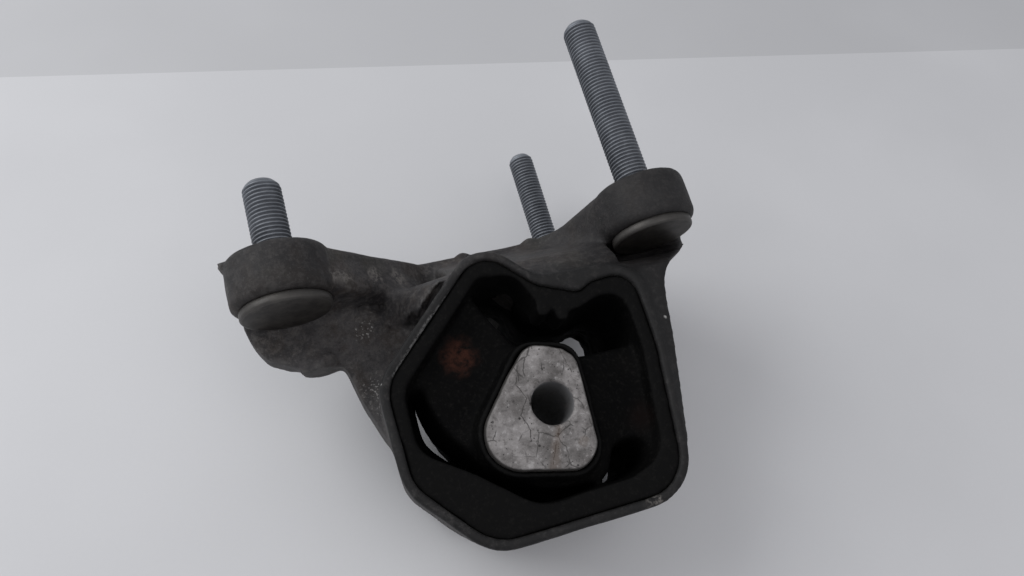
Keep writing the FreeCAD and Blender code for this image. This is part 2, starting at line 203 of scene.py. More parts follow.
class Finish:
    """Node tree of one finish, with short calls for the nodes that it needs."""

    def __init__(self, name, roughness=0.6, metallic=0.0, specular=0.5):
        self.material = bpy.data.materials.new(name)
        self.material.use_nodes = True
        self.tree = self.material.node_tree
        self.shader = self.tree.nodes["Principled BSDF"]
        self.shader.inputs["Roughness"].default_value = roughness
        self.shader.inputs["Metallic"].default_value = metallic
        self.shader.inputs["Specular IOR Level"].default_value = specular
        self.place = self.node("ShaderNodeTexCoord").outputs["Object"]
        self.normal = None

    def node(self, kind, **settings):
        made = self.tree.nodes.new(kind)
        for key, value in settings.items():
            setattr(made, key, value)
        return made

    def put(self, socket, value):
        if isinstance(value, bpy.types.NodeSocket):
            self.tree.links.new(value, socket)
        else:
            socket.default_value = value

    def maths(self, operation, a, b=0.0):
        made = self.node("ShaderNodeMath", operation=operation)
        self.put(made.inputs[0], a)
        self.put(made.inputs[1], b)
        return made.outputs[0]

    def vector(self, operation, a, b=(0.0, 0.0, 0.0), out="Vector"):
        made = self.node("ShaderNodeVectorMath", operation=operation)
        self.put(made.inputs[0], a)
        self.put(made.inputs[1], b)
        return made.outputs[out]

    def scaled(self, a, factor):
        made = self.node("ShaderNodeVectorMath", operation="SCALE")
        self.put(made.inputs[0], a)
        self.put(made.inputs["Scale"], factor)
        return made.outputs["Vector"]

    def step(self, value, low, high):
        """Rises smoothly from nothing at low to one at high; falls where low is the larger."""
        made = self.node("ShaderNodeMapRange", interpolation_type="SMOOTHSTEP")
        self.put(made.inputs["Value"], value)
        made.inputs["From Min"].default_value = low
        made.inputs["From Max"].default_value = high
        return made.outputs["Result"]

    def blend(self, amount, a, b):
        made = self.node("ShaderNodeMix", data_type="RGBA")
        self.put(made.inputs["Factor"], amount)
        self.put(made.inputs["A"], a)
        self.put(made.inputs["B"], b)
        return made.outputs["Result"]

    def layer(self, below, amount, share, above):
        """One colour over another, by an amount that is scaled by the share."""
        return self.blend(self.maths("MULTIPLY", amount, share), below, above)

    def noise(self, grain, detail=4.0, rough=0.6, shift=(0.0, 0.0, 0.0)):
        """Noise whose features are about as large as the grain, in millimetres."""
        mapping = self.node("ShaderNodeMapping")
        self.put(mapping.inputs["Vector"], self.place)
        mapping.inputs["Location"].default_value = shift
        made = self.node("ShaderNodeTexNoise")
        self.put(made.inputs["Vector"], mapping.outputs["Vector"])
        made.inputs["Scale"].default_value = 1000.0 / grain
        made.inputs["Detail"].default_value = detail
        made.inputs["Roughness"].default_value = rough
        return made.outputs["Fac"]

    def cells(self, size, shift=(0.0, 0.0, 0.0)):
        """Distance from the nearest of scattered points, the mean gap being the size in mm."""
        mapping = self.node("ShaderNodeMapping")
        self.put(mapping.inputs["Vector"], self.place)
        mapping.inputs["Location"].default_value = shift
        made = self.node("ShaderNodeTexVoronoi")
        self.put(made.inputs["Vector"], mapping.outputs["Vector"])
        made.inputs["Scale"].default_value = 1000.0 / size
        return made.outputs["Distance"]

    def axis(self, name):
        made = self.node("ShaderNodeSeparateXYZ")
        self.put(made.inputs[0], self.place)
        return made.outputs[name]

    def ragged(self, amount, grain):
        """The object's coordinates, shaken by noise of the given amount and grain in mm."""
        made = self.node("ShaderNodeTexNoise")
        self.put(made.inputs["Vector"], self.place)
        made.inputs["Scale"].default_value = 1000.0 / grain
        made.inputs["Detail"].default_value = 4.0
        shake = self.vector("SUBTRACT", made.outputs["Color"], (0.5, 0.5, 0.5))
        return self.vector("ADD", self.place, self.scaled(shake, amount * MM * 2.0))

    def spot(self, centre, radius, soft, shake=1.0, grain=3.0):
        """One inside a ragged ball round the centre, in mm."""
        where = self.ragged(shake, grain)
        point = tuple(value * MM for value in centre)
        distance = self.vector("DISTANCE", where, point, out="Value")
        return self.step(distance, (radius + soft) * MM, (radius - soft) * MM)

    def streak(self, start, end, width, soft, shake=0.6, grain=4.0):
        """One inside a ragged band round the straight line from start to end, in mm."""
        where = self.ragged(shake, grain)
        a = np.array(start) * MM
        way = np.array(end) * MM - a
        length = float(np.linalg.norm(way))
        way = way / length
        from_a = self.vector("SUBTRACT", where, tuple(a))
        run = self.vector("DOT_PRODUCT", from_a, tuple(way), out="Value")
        run = self.maths("MINIMUM", self.maths("MAXIMUM", run, 0.0), length)
        on_line = self.node("ShaderNodeVectorMath", operation="SCALE")
        on_line.inputs[0].default_value = tuple(way)
        self.put(on_line.inputs["Scale"], run)
        distance = self.vector("DISTANCE", from_a, on_line.outputs["Vector"], out="Value")
        return self.step(distance, (width + soft) * MM, max(width - soft, 0.0) * MM)

    def bump(self, height, depth, strength=1.0):
        """Adds relief: height one stands this far proud, in mm."""
        made = self.node("ShaderNodeBump")
        made.inputs["Strength"].default_value = strength
        made.inputs["Distance"].default_value = depth * MM
        self.put(made.inputs["Height"], height)
        if self.normal is not None:
            self.put(made.inputs["Normal"], self.normal)
        self.normal = made.outputs["Normal"]

    def done(self, colour, roughness=None):
        self.put(self.shader.inputs["Base Color"], colour)
        if roughness is not None:
            self.put(self.shader.inputs["Roughness"], roughness)
        if self.normal is not None:
            self.put(self.shader.inputs["Normal"], self.normal)
        return self.material


def rgb(red, green, blue):
    return (red, green, blue, 1.0)


# colours of the casting
OXIDE_DARK = rgb(0.014, 0.0125, 0.0135)
OXIDE_GREY = rgb(0.050, 0.0465, 0.0470)
BROWN_DIRT = rgb(0.037, 0.028, 0.023)
GREEN_DIRT = rgb(0.040, 0.040, 0.031)
PALE_MOTTLE = rgb(0.084, 0.077, 0.073)
DARK_MOTTLE = rgb(0.011, 0.0095, 0.0095)
PALE_GRAIN = rgb(0.150, 0.145, 0.140)
DARK_GRAIN = rgb(0.007, 0.0065, 0.0065)
WORN_EDGE = rgb(0.120, 0.117, 0.114)
# dirt with painted shade in the hollows
HOLLOW_DIRT_AND_SHADE = rgb(0.008, 0.007, 0.007)
# painted shade: darker to the right, on the ring's front and rim, and round the right ear
RIGHT_SHADE = rgb(0.009, 0.0085, 0.009)
FRONT_SHADE = rgb(0.0045, 0.0042, 0.0042)
RIM_SHADE = rgb(0.010, 0.0095, 0.0098)
RIGHT_EAR_SHADE = rgb(0.0085, 0.0075, 0.0082)
RUBBED_METAL = rgb(0.165, 0.152, 0.140)
FLECK = rgb(0.30, 0.29, 0.28)
CHIP = rgb(0.34, 0.33, 0.32)
SCRAPE = rgb(0.24, 0.235, 0.23)
# colours of the rubber
RUBBER_DARK = rgb(0.0013, 0.0013, 0.0014)
RUBBER_GREY = rgb(0.0032, 0.0031, 0.0031)
RUBBER_FRONT = rgb(0.0058, 0.0057, 0.0057)
DUST = rgb(0.022, 0.0205, 0.019)
RUST = rgb(0.044, 0.017, 0.0115)
FAINT_RUST = rgb(0.007, 0.0035, 0.003)
# colours of the core
CORE_DULL = rgb(0.104, 0.096, 0.092)
CORE_PALE = rgb(0.270, 0.254, 0.249)
CORE_DIRT = rgb(0.046, 0.041, 0.038)
CORE_BRIGHT = rgb(0.40, 0.385, 0.38)
SPECK = rgb(0.018, 0.016, 0.015)
CRACK = rgb(0.028, 0.024, 0.022)
HAIR_CRACK = rgb(0.030, 0.027, 0.025)
CORE_RUST = rgb(0.115, 0.070, 0.042)
CORE_STAIN = rgb(0.095, 0.070, 0.050)
CORE_SIDE = rgb(0.035, 0.032, 0.030)
BORE_GREY = rgb(0.130, 0.130, 0.133)
# colours of the studs
ZINC_DULL = rgb(0.120, 0.130, 0.148)
ZINC_GREY = rgb(0.200, 0.214, 0.238)
THREAD_ROOT_DARK = rgb(0.060, 0.063, 0.070)
CREST_BRIGHT = rgb(0.34, 0.355, 0.38)
ZINC_DIRT = rgb(0.075, 0.073, 0.070)
HEAD_DARK = rgb(0.016, 0.0135, 0.012)
HEAD_BROWN = rgb(0.046, 0.041, 0.036)
# painted shade of each head's shallow dimple
DIMPLE_SHADE = rgb(0.017, 0.015, 0.013)
# painted highlight on the heads' rims
HEAD_RIM_HIGHLIGHT = rgb(0.105, 0.100, 0.095)


def cast_finish():
    """Weathered sand-grey casting: cloudy oxide, brown dirt, pale nicks, a pitted grain and painted
    shade.
    """
    f = Finish("weathered_casting", roughness=0.62, metallic=0.0, specular=0.3)
    # clouds of oxide, brown and green dirt
    cloud = f.noise(22.0, 5.0, 0.62)
    colour = f.blend(f.step(cloud, 0.35, 0.68), OXIDE_DARK, OXIDE_GREY)
    dirt = f.noise(13.0, 6.0, 0.7, shift=(0.3, 0.1, 0.7))
    colour = f.layer(colour, f.step(dirt, 0.46, 0.62), 0.60, BROWN_DIRT)
    moss = f.noise(26.0, 4.0, 0.6, shift=(0.7, 0.5, 0.1))
    colour = f.layer(colour, f.step(moss, 0.54, 0.66), 0.35, GREEN_DIRT)
    # mottle and grain of the cast surface
    mottle = f.noise(2.6, 5.0, 0.75, shift=(0.9, 0.4, 0.2))
    colour = f.layer(colour, f.step(mottle, 0.46, 0.62), 0.50, PALE_MOTTLE)
    colour = f.layer(colour, f.step(mottle, 0.44, 0.32), 0.45, DARK_MOTTLE)
    grit = f.noise(0.9, 3.0, 0.8, shift=(0.2, 0.8, 0.5))
    colour = f.layer(colour, f.step(grit, 0.56, 0.70), 0.30, PALE_GRAIN)
    colour = f.layer(colour, f.step(grit, 0.46, 0.34), 0.42, DARK_GRAIN)
    # rubbed edges, and dirt with painted shade in the hollows
    edge = f.node("ShaderNodeNewGeometry").outputs["Pointiness"]
    worn = f.maths("MULTIPLY", f.step(edge, 0.515, 0.56), f.step(mottle, 0.30, 0.65))
    colour = f.layer(colour, worn, 0.40, WORN_EDGE)
    hollow_dirt_and_shade = f.step(edge, 0.49, 0.44)
    colour = f.layer(colour, hollow_dirt_and_shade, 0.6, HOLLOW_DIRT_AND_SHADE)
    # painted shade: darker to the right, on the ring's front and rim, and round the right ear
    right_shade = f.maths("ADD", f.axis("X"), f.maths("MULTIPLY", f.axis("Y"), -0.45))
    right_shade = f.maths("ADD", right_shade, f.maths("MULTIPLY", cloud, 30.0 * MM))
    right_shade = f.step(right_shade, -22.0 * MM, 34.0 * MM)
    colour = f.layer(colour, right_shade, 0.45, RIGHT_SHADE)
    front_shade = f.maths("MULTIPLY", f.step(f.axis("Z"), 20.0 * MM, 24.4 * MM),
                    f.step(f.axis("Y"), 50.0 * MM, 40.0 * MM))
    colour = f.blend(f.maths("MULTIPLY", front_shade, f.step(mottle, 0.80, 0.45)), colour, FRONT_SHADE)
    rim = f.step(f.axis("Z"), 22.6 * MM, 24.0 * MM)
    colour = f.layer(colour, rim, 0.45, RIM_SHADE)
    # painted shade round the right ear
    right = f.spot((50.0, 46.0, 12.0), 19.0, 9.0, 4.0, 9.0)
    colour = f.layer(colour, right, 0.42, RIGHT_EAR_SHADE)
    # rubbed patches, flecks, chips and scrapes
    rubbed = f.noise(2.2, 4.0, 0.75, shift=(0.6, 0.2, 0.9))
    for centre, radius in CASTING_PATCHES:
        patch = f.maths("MULTIPLY", f.spot(centre, radius, 1.6, 2.6, 3.0),
                        f.step(rubbed, 0.44, 0.58))
        colour = f.layer(colour, patch, 0.75, RUBBED_METAL)
    fleck = f.step(f.noise(0.8, 2.0, 0.5, shift=(0.2, 0.8, 0.4)), 0.61, 0.65)
    for centre, radius in CASTING_FLECKS:
        cluster = f.maths("MULTIPLY", f.spot(centre, radius, 2.5, 2.5, 4.0), fleck)
        colour = f.layer(colour, cluster, 0.8, FLECK)
    for centre, radius in CASTING_CHIPS:
        chip = f.spot(centre, radius, 0.25, 0.9, 1.6)
        colour = f.blend(chip, colour, CHIP)
    for start, end, width in CASTING_SCRAPES:
        scrape = f.maths("MULTIPLY", f.streak(start, end, width, width * 0.8, 0.5, 1.4),
                         f.step(grit, 0.35, 0.62))
        colour = f.layer(colour, scrape, 0.6, SCRAPE)
    f.bump(grit, 0.12, 0.7)
    f.bump(mottle, 0.35, 0.6)
    return f.done(colour, f.maths("ADD", 0.50, f.maths("MULTIPLY", cloud, 0.28)))


# centre and radius, mm: bright chips on the ring's rim, rubbed patches on the front edge of the
# flange and the ring's lower corner, and white flecks on the sloping web
CASTING_CHIPS = [((43.3, 17.2, 23.5), 0.45), ((-46.4, 17.0, 24.4), 0.5)]
CASTING_PATCHES = [((-51.4, 52.7, 21.7), 2.6), ((-48.2, 52.8, 17.9), 2.4),
                   ((-38.5, 54.5, 7.5), 3.0), ((-30.5, 55.5, 0.0), 3.2),
                   ((20.4, -33.9, 24.8), 2.2)]
CASTING_FLECKS = [((-46.4, 21.0, 3.1), 3.2), ((-45.3, 39.5, 3.0), 3.0), ((-47.0, 14.0, 6.0), 2.6)]
CASTING_SCRAPES = [
    # ends and width: a line on the sloping web, and the flash along the opening's edge
    ((-62.5, 40.0, 12.0), (-53.6, 25.0, 12.0), 0.45),
    ((-42.0, 18.8, 24.3), (-28.7, 32.1, 24.3), 0.40),
    ((-28.7, 32.1, 24.3), (-11.2, 46.3, 24.3), 0.40),
]


def rubber_finish():
    """Old black rubber: dull and dusty, lighter on its front faces, with rust washed on to the
    arms.
    """
    f = Finish("aged_rubber", roughness=0.7, specular=0.045)
    cloud = f.noise(16.0, 5.0, 0.6)
    colour = f.blend(f.step(cloud, 0.35, 0.70), RUBBER_DARK, RUBBER_GREY)
    front = f.step(f.axis("Z"), 22.6 * MM, 23.8 * MM)
    colour = f.layer(colour, front, 0.75, RUBBER_FRONT)
    dust = f.noise(1.3, 4.0, 0.8, shift=(0.5, 0.2, 0.1))
    colour = f.layer(colour, f.step(dust, 0.50, 0.70), 0.26, DUST)
    rust = f.maths("MULTIPLY", f.spot((-21.5, 20.9, 19.0), 4.6, 2.6, 2.2, 4.0),
                   f.step(f.noise(2.2, 5.0, 0.7, shift=(0.7, 0.0, 0.3)), 0.30, 0.62))
    colour = f.layer(colour, rust, 0.9, RUST)
    faint = f.spot((27.6, -9.8, 18.0), 4.0, 3.0, 2.0, 4.0)
    colour = f.layer(colour, faint, 0.5, FAINT_RUST)
    f.bump(dust, 0.10, 0.5)
    f.bump(cloud, 0.6, 0.3)
    return f.done(colour, f.maths("ADD", 0.52, f.maths("MULTIPLY", cloud, 0.30)))


def core_finish():
    """Pale sintered core: warm grey faces with black specks, hair cracks and rust stains."""
    f = Finish("pale_core_metal", roughness=0.58, metallic=0.1, specular=0.4)
    cloud = f.noise(9.0, 5.0, 0.65)
    colour = f.blend(f.step(cloud, 0.35, 0.68), CORE_DULL, CORE_PALE)
    mottle = f.noise(1.8, 5.0, 0.75, shift=(0.4, 0.9, 0.2))
    colour = f.layer(colour, f.step(mottle, 0.50, 0.68), 0.65, CORE_DIRT)
    colour = f.layer(colour, f.step(mottle, 0.46, 0.32), 0.60, CORE_BRIGHT)
    for size, share in ((2.6, 0.20), (1.3, 0.19)):
        near = f.step(f.cells(size, (0.1 * size, 0.3, 0.2)), share, share * 0.5)
        specks = f.maths("MULTIPLY", near,
                         f.step(f.noise(6.0, 2.0, 0.5, shift=(0.1, 0.6, size)), 0.46, 0.56))
        colour = f.blend(specks, colour, SPECK)
    for path, width in CORE_CRACKS:
        for start, end in zip(path[:-1], path[1:]):
            crack = f.streak((*start, CORE_FRONT), (*end, CORE_FRONT), width, width * 0.7,
                             0.45, 1.6)
            colour = f.layer(colour, crack, 0.9, CRACK)
    net = f.node("ShaderNodeTexVoronoi", feature="DISTANCE_TO_EDGE")
    f.put(net.inputs["Vector"], f.ragged(0.9, 3.0))
    net.inputs["Scale"].default_value = 1000.0 / 7.5
    hair = f.maths("MULTIPLY", f.step(net.outputs["Distance"], 0.026, 0.010),
                   f.step(f.noise(8.0, 2.0, 0.5, shift=(0.8, 0.3, 0.5)), 0.48, 0.56))
    colour = f.layer(colour, hair, 0.75, HAIR_CRACK)
    rust = f.streak((-0.5, -7.0, CORE_FRONT), (-5.4, -18.0, CORE_FRONT), 1.2, 1.1, 1.2, 3.0)
    colour = f.layer(colour, rust, 0.32, CORE_RUST)
    stain = f.spot((5.4, -12.7, CORE_FRONT), 1.5, 0.5, 0.8, 1.6)
    colour = f.layer(colour, stain, 0.4, CORE_STAIN)
    # dark sides, but a grey bore
    geometry = f.node("ShaderNodeNewGeometry")
    turn = f.node("ShaderNodeSeparateXYZ")
    f.put(turn.inputs[0], geometry.outputs["Normal"])
    tilt = f.maths("ADD", f.maths("ABSOLUTE", turn.outputs["Z"]),
                   f.maths("MULTIPLY", f.maths("SUBTRACT", mottle, 0.5), 0.5))
    side = f.step(tilt, 0.93, 0.62)
    radial = f.node("ShaderNodeVectorMath", operation="MULTIPLY")
    f.put(radial.inputs[0], f.place)
    radial.inputs[1].default_value = (1.0, 1.0, 0.0)
    reach = f.vector("LENGTH", radial.outputs["Vector"], out="Value")
    outside = f.step(reach, 8.0 * MM, 9.0 * MM)
    colour = f.blend(f.maths("MULTIPLY", side, outside), colour, CORE_SIDE)
    inside = f.step(reach, 6.45 * MM, 6.30 * MM)
    colour = f.layer(colour, inside, 0.85, BORE_GREY)
    f.bump(mottle, 0.18, 0.5)
    return f.done(colour, f.maths("ADD", 0.46, f.maths("MULTIPLY", cloud, 0.25)))


# places as X and Y along each open crack of the core's front, and its half width, mm
CORE_CRACKS = [
    ([(-7.2, 12.5), (-9.1, 7.5), (-7.1, 3.1), (-10.2, -1.1), (-8.6, -5.9), (-9.6, -9.0)], 0.14),
    ([(-0.5, -7.4), (-2.8, -11.7), (-5.2, -16.6)], 0.14),
    ([(6.6, 14.6), (7.2, 11.1), (8.1, 7.2)], 0.10),
]


def zinc_finish():
    """Zinc on rolled threads, pale on the crests and darker in the roots, and brown dirty heads."""
    f = Finish("dull_zinc", roughness=0.48, metallic=0.55, specular=0.5)
    crest = f.node("ShaderNodeAttribute", attribute_name="crest").outputs["Fac"]
    head = f.node("ShaderNodeAttribute", attribute_name="head").outputs["Fac"]
    cloud = f.noise(7.0, 5.0, 0.65)
    colour = f.blend(f.step(cloud, 0.35, 0.68), ZINC_DULL, ZINC_GREY)
    colour = f.layer(colour, f.step(crest, 0.62, 0.05), 0.62, THREAD_ROOT_DARK)
    colour = f.layer(colour, f.step(crest, 0.80, 1.0), 0.3, CREST_BRIGHT)
    dirt = f.noise(1.6, 4.0, 0.75, shift=(0.3, 0.3, 0.9))
    colour = f.layer(colour, f.step(dirt, 0.55, 0.75), 0.45, ZINC_DIRT)
    # painted highlight along the rim of each head
    rim = f.node("ShaderNodeAttribute", attribute_name="rim").outputs["Fac"]
    dull = f.blend(f.step(f.noise(5.0, 5.0, 0.7, shift=(0.6, 0.1, 0.4)), 0.36, 0.66),
                   HEAD_DARK, HEAD_BROWN)
    # painted shade of a shallow dimple, as a dark ring on each head
    dimple = f.node("ShaderNodeAttribute", attribute_name="dimple").outputs["Fac"]
    dull = f.layer(dull, dimple, 0.55, DIMPLE_SHADE)
    dull = f.layer(dull, rim, 0.45, HEAD_RIM_HIGHLIGHT)
    colour = f.blend(head, colour, dull)
    f.bump(dirt, 0.10, 0.5)
    return f.done(colour, f.maths("ADD", 0.40, f.maths("MULTIPLY", cloud, 0.22)))


def pale_finish(name, shade):
    """Pale laminate with a faint cloud and a very fine grain."""
    f = Finish(name, roughness=0.6, specular=0.2)
    cloud = f.noise(180.0, 4.0, 0.5)
    colour = f.blend(f.step(cloud, 0.3, 0.7), rgb(0.585 * shade, 0.585 * shade, 0.597 * shade),
                     rgb(0.630 * shade, 0.630 * shade, 0.642 * shade))
    fine = f.noise(1.2, 2.0, 0.6)
    colour = f.layer(colour, fine, 0.08, rgb(0.45, 0.45, 0.46))
    return f.done(colour)


# ---- pieces -------------------------------------------------------------------------------

def stud_rows(radius, length, head_r, pitch):
    """Rows of a turned stud from the middle of its head to the middle of its tip.

    Each row is a radius, a height, the share of the thread's depth cut there, and whether it
    lies on the head. The head's edge is a quarter round, and the tip a chamfer and low dome.
    """
    under = UNDER_Y - HEAD_THICKNESS
    flat_r = head_r - HEAD_ROUND
    rows = [(r, under, 0.0, 1.0) for r in np.linspace(head_r * 0.08, flat_r, 8)]
    for angle in np.linspace(0.0, np.pi / 2, 6)[1:]:
        rows.append((flat_r + HEAD_ROUND * np.sin(angle),
                     under + HEAD_ROUND - HEAD_ROUND * np.cos(angle), 0.0, 1.0))
    rows += [(head_r, UNDER_Y - 0.3, 0.0, 1.0), (head_r - 0.3, UNDER_Y - 0.02, 0.0, 1.0)]
    neck_r = radius + NECK_STEP
    rows += [(neck_r, UNDER_Y - 0.02, 0.0, 1.0), (neck_r, FACE_Y, 0.0, 0.0)]
    tip = FACE_Y + length - DOME_HEIGHT
    crest = radius - THREAD_SLACK
    for height in np.arange(FACE_Y + 0.15, tip - TIP_HEIGHT, pitch / 9.0):
        start = np.clip((height - FACE_Y - 0.3) / pitch, 0.0, 1.0)
        rows.append((crest, height, start, 0.0))
    for share in np.linspace(0.0, 1.0, 14):
        rows.append((crest - TIP_TAPER * share ** 1.7, tip - TIP_HEIGHT + TIP_RISE * share,
                     (1.0 - share) ** 2, 0.0))
    for angle in np.linspace(0.15, 1.0, 7):
        reach = (crest - TIP_TAPER) * np.cos(angle * np.pi / 2)
        height = tip - DOME_HEIGHT + DOME_HEIGHT * np.sin(angle * np.pi / 2)
        rows.append((max(reach, 0.25), height, 0.0, 0.0))
    return np.array(rows)


def threaded_stud(name, material):
    """Surface of turning the rows about the stud's axis.

    The thread cuts into the radius by depth times a rounded wave of height / pitch minus
    angle / turn, so its root climbs one pitch in each turn, right handed.
    """
    (x0, z0), radius, length, pitch, head_r = STUDS[name]
    rows = stud_rows(radius, length, head_r, pitch)
    columns = THREAD_COLUMNS
    turn = np.arange(columns) / columns
    angle = 2.0 * np.pi * turn
    phase = rows[:, 1][:, None] / pitch - turn[None, :]
    wave = 0.5 + 0.5 * np.cos(2.0 * np.pi * phase)
    root = wave ** 1.15
    wear = 0.05 * np.sin(7.0 * angle[None, :] + rows[:, 1][:, None] * 0.9)
    cut = rows[:, 2][:, None] * (root * THREAD_DEPTH + (1.0 - root) * np.abs(wear))
    reach = rows[:, 0][:, None] - cut
    points = np.empty((len(rows), columns, 3))
    points[..., 0] = x0 + reach * np.sin(angle)
    points[..., 1] = rows[:, 1][:, None]
    points[..., 2] = z0 + reach * np.cos(angle)
    low = [[x0, rows[0, 1], z0]]
    high = [[x0, rows[-1, 1], z0]]
    flat = np.vstack([points.reshape(-1, 3), low, high]) * MM
    here = np.arange(columns)
    beyond = (here + 1) % columns
    start = (np.arange(len(rows) - 1) * columns)[:, None]
    quads = np.stack([start + here, start + beyond, start + columns + beyond,
                      start + columns + here], axis=-1).reshape(-1, 4)
    foot = len(rows) * columns
    last = (len(rows) - 1) * columns
    caps = [(foot, int(b), int(a)) for a, b in zip(here, beyond)]
    caps += [(foot + 1, last + int(a), last + int(b)) for a, b in zip(here, beyond)]
    mesh = bpy.data.meshes.new(name + "_threaded")
    mesh.from_pydata(flat.tolist(), [], quads.tolist() + caps)
    mesh.update()
    mesh.shade_smooth()
    crest = np.where(rows[:, 2][:, None] > 0.0, 1.0 - root * rows[:, 2][:, None], 0.97)
    write_share(mesh, "crest", np.append(crest.ravel(), [0.4, 0.9]))
    head = np.broadcast_to(rows[:, 3][:, None], crest.shape)
    write_share(mesh, "head", np.append(head.ravel(), [1.0, 0.0]))
    # painted highlight: a bright band along the edge of each head
    band = (rows[:, 0] > head_r - HEAD_HIGHLIGHT_WIDTH) & (rows[:, 3] > 0.5)
    band = np.broadcast_to(band[:, None], crest.shape)
    write_share(mesh, "rim", np.append(band.ravel(), [0, 0]))
    # painted shade: a dark ring in the middle of each head, standing in for a shallow dimple
    dimple = fade(np.abs(rows[:, 0] - 0.36 * head_r), 2.2) * (rows[:, 1] < UNDER_Y - 2.0)
    dimple = np.broadcast_to(dimple[:, None], crest.shape)
    write_share(mesh, "dimple", np.append(dimple.ravel(), [0, 0]))
    mesh.materials.append(material)
    piece = bpy.data.objects.new(name + "_threaded", mesh)
    bpy.context.scene.collection.objects.link(piece)
    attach(piece, "root")
    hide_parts(name)


def write_share(mesh, name, values):
    """Keeps a number at each point of a mesh, for its finish to read."""
    layer = mesh.attributes.new(name, "FLOAT", "POINT")
    layer.data.foreach_set("value", np.asarray(values, dtype=np.float32))


def flange_gusset():
    """Block that carries the left ear's round over into the flange's front edge."""
    upper = [(-54.5, 22.5), (-48.7, 15.8), (-36.0, 3.6), (-21.0, -10.4), (-24.0, -14.0),
             (-60.0, 6.0)]
    corners = [(x, FACE_Y - 0.4, z) for x, z in upper]
    return corners + [(x, UNDER_Y + 1.0, z + 2.0) for x, z in upper]


def web_shoulder():
    """Block that fills the pocket between the sloping web, the flange and the ring's corner."""
    front = [(-26.0, 35.8, 15.0), (-20.0, 43.2, 20.0), (-16.6, 48.0, 14.0), (-19.0, 50.0, 1.0),
             (-27.0, 49.5, 0.0), (-36.0, 49.0, 3.0), (-37.0, 40.0, 1.5)]
    rear = [(-26.0, 35.8), (-20.0, 43.2), (-16.6, 48.0), (-19.0, 50.0), (-36.0, 49.0),
            (-37.0, 40.0)]
    return front + [(x, y, -16.0) for x, y in rear]


def lug_rim():
    """Low round rim at the foot of the locating lug."""
    turn = np.linspace(0.0, 2.0 * np.pi, 28, endpoint=False)
    corners = []
    for height, radius in ((30.2, 5.9), (30.8, 6.5), (34.0, 6.5)):
        corners += [(-60.0 + radius * np.cos(a), height, -0.6 + radius * np.sin(a)) for a in turn]
    return corners


def casting(material):
    """The bracket's skin: inner corners filled to cast fillets, edges rounded, and its flaws."""
    skin = Skin("bracket", CASTING_CELL, [flange_gusset(), web_shoulder(), lug_rim()])
    x, y, z = skin.points.T
    near_ring = np.clip((z - 20.0) / 4.0, 0.0, 1.0) * (y < 52.0)
    near_ring = near_ring * np.clip((x + 40.0) / 20.0, 0.0, 1.0)
    lug = fade(np.linalg.norm((skin.points - (-60.0, 31.0, -2.0)), axis=1), 14.0)
    keep = np.maximum(np.maximum(0.8 * near_ring, 1.6 * lug), 0.6 * (x < -52.0) * (y < 44.0))
    skin.fill_corners(34, 0.9 * np.clip(1.0 - keep, 0.05, 1.0))
    skin.soften(2, 0.5)
    points = skin.points
    across = points * (1.0, 1.0, 0.0)
    apart, _ = along_segment(across, (-47.2, 8.0, 0.0), (-16.0, 47.5, 0.0))
    facing = np.clip(skin.normals()[:, 2] * 1.6 - 0.3, 0.0, 1.0)
    low = (points[:, 2] > 6.0) & (points[:, 2] < 25.2)
    low = low * np.clip((50.0 - points[:, 1]) / 7.0, 0.0, 1.0)
    points[:, 2] += (RIM_LEVEL - points[:, 2]) * fade(apart, 15.0) * facing * low
    sharp = points.copy()
    skin.soften(14, 0.5)
    joint = fade(np.linalg.norm(sharp - (-27.0, 48.0, 8.0), axis=1), 17.0)
    skin.points = sharp + (skin.points - sharp) * joint[:, None]
    skin.soften(2, 0.5)
    points = skin.points
    swell = 0.16 * lattice_noise(points, 9.0, 3.1) + 0.10 * lattice_noise(points, 3.4, 7.7)
    opening = fade(np.abs(points[:, 2] - RING_FRONT), 3.0)
    swell *= 1.0 - 0.7 * opening
    skin.raise_by(swell)
    cast_flaws(skin)
    sink_under_rubber(skin)
    skin.finish("cast_bracket", "bracket", material)


def sink_under_rubber(skin):
    """Sets the ring's inner wall back a little, so that the bonded rubber covers all of it."""
    points = skin.points
    normal = skin.normals()
    reach = np.maximum(np.linalg.norm(points[:, :2], axis=1), 1.0)
    inward = -(points[:, :2] * normal[:, :2]).sum(axis=1) / reach
    inner = (inward > 0.3) & (points[:, 0] > -46.0) & (points[:, 0] < 39.0) & (points[:, 1] < 47.0)
    depth = 0.9 * inner * np.clip((23.0 - np.abs(points[:, 2])) / 2.0, 0.0, 1.0)
    skin.raise_by(-depth)


def cast_flaws(skin):
    """Two low pips on the flange's front edge and a torn burr of flash beside the left ear."""
    points = skin.points
    pips = (((-4.9, 63.0, -11.0), 3.4, 1.7), ((19.5, 63.0, -10.2), 3.6, 1.6))
    for centre, radius, height in pips:
        away = np.linalg.norm((points - centre) * (1.0, 0.6, 0.8), axis=1)
        points[:, 1] += height * fade(away, radius) ** 0.6
    away, _ = along_segment(points, (-81.6, 62.4, 15.0), (-81.0, 62.4, 21.0))
    torn = 1.6 + 1.1 * lattice_noise(points, 1.1, 5.3)
    points[:, 0] -= torn * fade(away, 1.9)
    points[:, 1] += 0.5 * torn * fade(away, 1.6)


